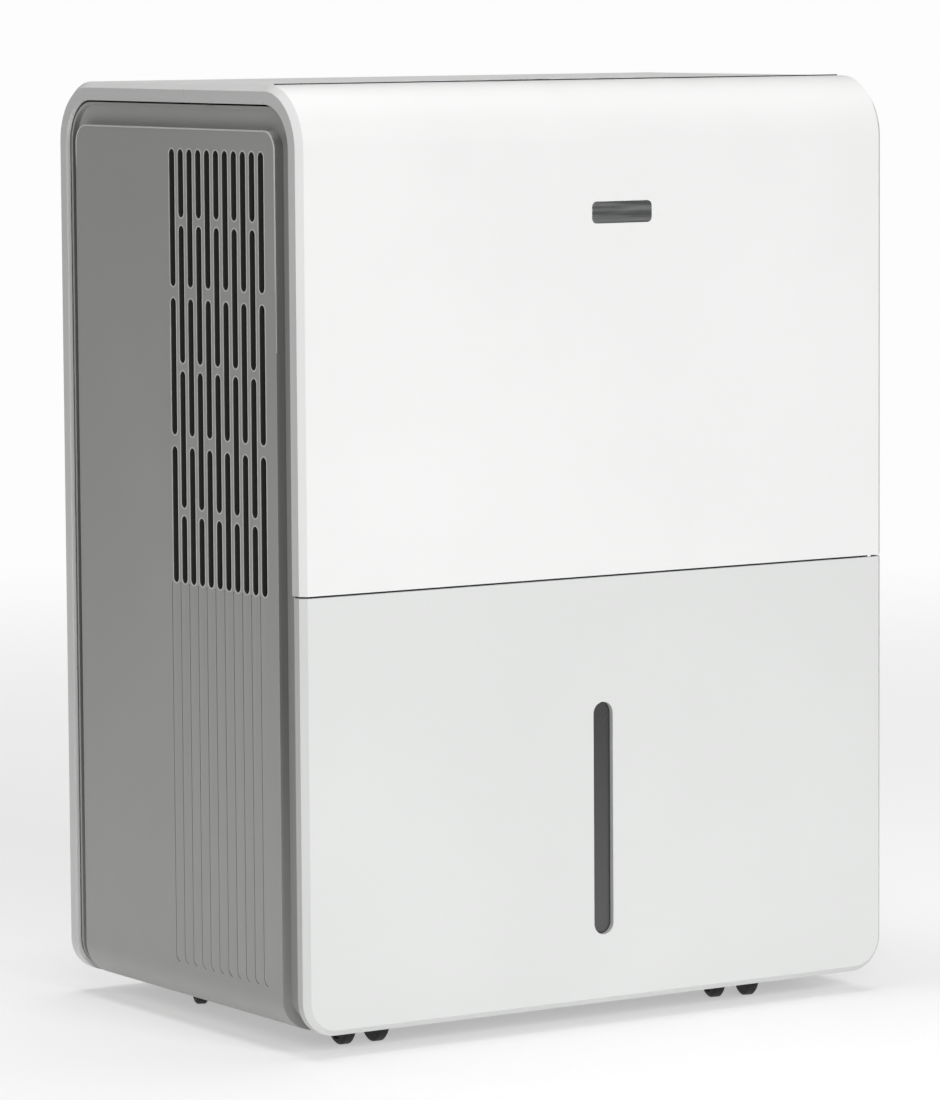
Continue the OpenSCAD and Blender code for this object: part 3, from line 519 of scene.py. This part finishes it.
def top_seam_strip():
    """Thin dark seal standing in the seam between front panel and top panel."""
    seam = (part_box("front_panel")[1].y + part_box("top_panel")[0].y) / 2
    reach = cad_box[1].x - SEAL_END
    low = (-reach, seam - SEAL_HALF, cad_box[1].z - SEAL_DEEP)
    high = (reach, seam + SEAL_HALF, cad_box[1].z + SEAL_PROUD)
    bm = bmesh.new()
    add_box(bm, low, high)
    new_piece("top_seam_strip", bm, "black_plastic", "cabinet")


def filter_strands():
    """Woven screen of the air filter: two crossing layers of fine strands, pressed into each other."""
    low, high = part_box("air_filter_mesh")
    pitch, half, thick, pressed = 2.0 * MM, 0.22 * MM, 0.3 * MM, 0.05 * MM
    middle = (low.y + high.y) / 2
    bm = bmesh.new()
    for k in range(int((high.x - low.x) / pitch) + 1):
        x = low.x + half + k * pitch
        add_box(bm, (x - half, middle - thick, low.z), (x + half, middle + pressed, high.z))
    for k in range(int((high.z - low.z) / pitch) + 1):
        z = low.z + half + k * pitch
        add_box(bm, (low.x, middle - pressed, z - half), (high.x, middle + thick, z + half))
    piece = new_piece("air_filter_screen", bm, "filter_mesh", "filter")
    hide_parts("air_filter_mesh")


def fine_fins():
    """The evaporator's thin fins between the thicker ones that the CAD has."""
    low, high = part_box("evaporator")
    inset, pitch, half = 9 * MM, 1.75 * MM, 0.08 * MM
    bm = bmesh.new()
    count = int((high.x - low.x - 2 * inset) / pitch)
    for k in range(count + 1):
        x = low.x + inset + k * pitch
        add_box(bm, (x - half, low.y + MM, low.z + MM), (x + half, high.y - 0.5 * MM, high.z - MM))
    new_piece("evaporator_fine_fins", bm, "coil_aluminium", "cabinet")


# ---------- prints on the keys ----------

# Half the thickness of a print, and the width of a sign's strokes
PRINT, STROKE = 0.06 * MM, 0.55 * MM


def add_stroke(bm, points, width, z):
    """A flat printed line through the points."""
    for a, b in zip(points, points[1:]):
        a, b = Vector((*a, 0)), Vector((*b, 0))
        along = (b - a).normalized()
        side = Vector((-along.y, along.x, 0)) * width / 2
        corners = [a - side, a + side, b + side, b - side]
        low = [bm.verts.new(c + Vector((0, 0, z - PRINT))) for c in corners]
        high = [bm.verts.new(c + Vector((0, 0, z + PRINT))) for c in corners]
        bm.faces.new(low)
        bm.faces.new(high)
        for k in range(4):
            bm.faces.new((low[k], low[(k + 1) % 4], high[(k + 1) % 4], high[k]))


def arc(centre, radius, start, end, steps=24):
    """Points of an arc in the plane of the keys; degrees."""
    points = []
    for k in range(steps + 1):
        angle = math.radians(start + (end - start) * k / steps)
        points.append((centre[0] + radius * math.cos(angle), centre[1] + radius * math.sin(angle)))
    return points


def key_sign(name, strokes):
    """Prints a generic sign on a key; strokes are in millimetres from the key's middle."""
    low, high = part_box(name)
    x, y = (low.x + high.x) / 2, (low.y + high.y) / 2
    bm = bmesh.new()
    for points in strokes:
        add_stroke(bm, [(x + px * MM, y + py * MM) for px, py in points], STROKE, high.z)
    new_piece(name + "_print", bm, "key_print", name + "_key")


def fan_blade(angle):
    """A half circle that starts at the key's middle; its centre lies at the angle in radians."""
    radius = 1.4
    centre = (radius * math.cos(angle), radius * math.sin(angle))
    return arc(centre, radius, math.degrees(angle) - 150, math.degrees(angle) + 30, 10)


def key_signs():
    """Power ring, water drop, fan, clock, and arrows up and down; points are in millimetres."""
    tip, left, right = (0, 3.2), (-1.9, 0.2), (1.9, 0.2)
    key_sign("button_power", [arc((0, 0), 2.6, 125, 415), [(0, 0.6), (0, 3.4)]])
    key_sign("button_mode", [[tip, left], arc((0, -0.8), 2.1, 150, 390), [right, tip]])
    key_sign("button_fan", [fan_blade(angle) for angle in (0.5, 2.6, 4.7)])
    key_sign("button_timer", [arc((0, 0), 2.8, 0, 360), [(0, 1.8), (0, 0), (1.4, 0)]])
    key_sign("button_up", [[(-2.2, -1), (0, 1.4), (2.2, -1)]])
    key_sign("button_down", [[(-2.2, 1), (0, -1.4), (2.2, 1)]])


def lens_lamps():
    """A row of small lamps in the display lens."""
    lamps, half, tall = 4, 0.8 * MM, 1.0 * MM
    low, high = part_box("display_lens")
    y = low.y + 4 * MM
    bm = bmesh.new()
    for k in range(lamps):
        x = low.x + (high.x - low.x) * (k + 1) / (lamps + 1)
        add_stroke(bm, [(x - half, y), (x + half, y)], tall, high.z)
    new_piece("display_lamps", bm, "lamp_print", "cabinet")


louvres()
slot_rims("left_slot_rims", -1)
slot_rims("right_slot_rims", 1)
lip_catches()
top_seam_strip()
filter_strands()
fine_fins()
key_signs()
lens_lamps()


# ---------- camera ----------

# Where the camera stands and looks; its azimuth turns from +Y towards +X, its tilt is downwards
AZIMUTH = math.radians(32.80)
TILT = math.radians(5.721)
ROLL = math.radians(-0.383)
CAMERA_AT = Vector((-1.7442, -2.7039, 0.5802))
SENSOR = 36.0
FOCAL = 182.8

look = Vector((math.sin(AZIMUTH) * math.cos(TILT), math.cos(AZIMUTH) * math.cos(TILT), -math.sin(TILT)))
level = Vector((math.cos(AZIMUTH), -math.sin(AZIMUTH), 0))
upright = level.cross(look)
right = math.cos(ROLL) * level + math.sin(ROLL) * upright
up = -math.sin(ROLL) * level + math.cos(ROLL) * upright
camera_data = bpy.data.cameras.new("camera")
camera_data.sensor_width = SENSOR
camera_data.lens = FOCAL
camera_data.clip_end = 50
camera = bpy.data.objects.new("camera", camera_data)
camera.matrix_world = Matrix((
    (right.x, up.x, -look.x, CAMERA_AT.x),
    (right.y, up.y, -look.y, CAMERA_AT.y),
    (right.z, up.z, -look.z, CAMERA_AT.z),
    (0, 0, 0, 1),
))
scene.collection.objects.link(camera)
scene.camera = camera


# ---------- floor and light ----------

# Where the lights aim, and how bright plain white looks in the picture
CENTRE = Vector((0, 0, 0.27))
WHITE_SEEN = 0.98
# Half the floor's side, where it begins to turn white and where it is white, in metres
FLOOR_HALF, WHITE_FROM, WHITE_AT = 30.0, 0.6, 2.6
# The floor's own glow as it is seen, and as it lights other things near and far; then the backdrop's
FLOOR_SEEN, FLOOR_LIGHT, FAR_LIGHT, BACKDROP_LIGHT = 0.44, 0.3, 0.2, 0.04


def area_light(name, at, size, power):
    """A soft light at a place, aimed at the middle of the object."""
    data = bpy.data.lights.new(name, "AREA")
    data.shape = "RECTANGLE"
    data.size, data.size_y = size
    data.energy = power
    lamp = bpy.data.objects.new(name, data)
    lamp.location = at
    lamp.rotation_euler = (CENTRE - Vector(at)).to_track_quat("-Z", "Y").to_euler()
    scene.collection.objects.link(lamp)


def seen_only(tree, seen, light):
    """A strength for the backdrop: seen as it looks, light as it shines on other things."""
    paths = tree.nodes.new("ShaderNodeLightPath")
    strength = tree.nodes.new("ShaderNodeMapRange")
    strength.inputs["To Min"].default_value = light
    strength.inputs["To Max"].default_value = seen
    tree.links.new(paths.outputs["Is Camera Ray"], strength.inputs["Value"])
    return strength.outputs["Result"]


def floor_plane():
    """Pale floor that lightens to plain white away from the object."""
    half = FLOOR_HALF
    mesh = bpy.data.meshes.new("floor")
    corners = [(-half, -half, 0), (half, -half, 0), (half, half, 0), (-half, half, 0)]
    mesh.from_pydata(corners, [], [(0, 1, 2, 3)])
    floor = bpy.data.objects.new("floor", mesh)
    scene.collection.objects.link(floor)
    mat, tree, shader = new_material("floor_paint")
    paint = tint(tree, noise(tree, 2), (0.62, 0.62, 0.62), (0.65, 0.65, 0.65))
    tree.links.new(paint, shader.inputs["Base Color"])
    shader.inputs["Roughness"].default_value = 0.9
    shader.inputs["Specular IOR Level"].default_value = 0.2
    shader.inputs["Emission Color"].default_value = (1, 1, 1, 1)
    tree.links.new(seen_only(tree, FLOOR_SEEN, FLOOR_LIGHT), shader.inputs["Emission Strength"])
    coords = tree.nodes.new("ShaderNodeTexCoord")
    distance = tree.nodes.new("ShaderNodeVectorMath")
    distance.operation = "LENGTH"
    fade = tree.nodes.new("ShaderNodeMapRange")
    fade.interpolation_type = "SMOOTHSTEP"
    fade.inputs["From Min"].default_value = WHITE_FROM
    fade.inputs["From Max"].default_value = WHITE_AT
    white = tree.nodes.new("ShaderNodeEmission")
    tree.links.new(seen_only(tree, WHITE_SEEN, FAR_LIGHT), white.inputs["Strength"])
    mix = tree.nodes.new("ShaderNodeMixShader")
    tree.links.new(coords.outputs["Object"], distance.inputs[0])
    tree.links.new(distance.outputs["Value"], fade.inputs["Value"])
    tree.links.new(fade.outputs["Result"], mix.inputs["Fac"])
    tree.links.new(shader.outputs["BSDF"], mix.inputs[1])
    tree.links.new(white.outputs["Emission"], mix.inputs[2])
    tree.links.new(mix.outputs["Shader"], tree.nodes["Material Output"].inputs["Surface"])
    floor.data.materials.append(mat)


def studio_world(seen, light):
    """White backdrop; its own light on the object is much weaker than it looks."""
    world = bpy.data.worlds.new("studio")
    world.use_nodes = True
    background = world.node_tree.nodes["Background"]
    background.inputs["Color"].default_value = (1, 1, 1, 1)
    strength = seen_only(world.node_tree, seen, light)
    world.node_tree.links.new(strength, background.inputs["Strength"])
    scene.world = world


floor_plane()
studio_world(WHITE_SEEN, BACKDROP_LIGHT)
scene.view_settings.view_transform = "Standard"
area_light("key_left", (-1.7, -3.2, 1.4), (1.2, 1.2), 30)
area_light("key_middle", (0.1, -3.8, 1.6), (1.6, 1.6), 82)
area_light("side", (-3.2, -0.4, 1.2), (1.6, 1.8), 3)
area_light("top", (0, 0.3, 3.2), (2.0, 2.0), 58)
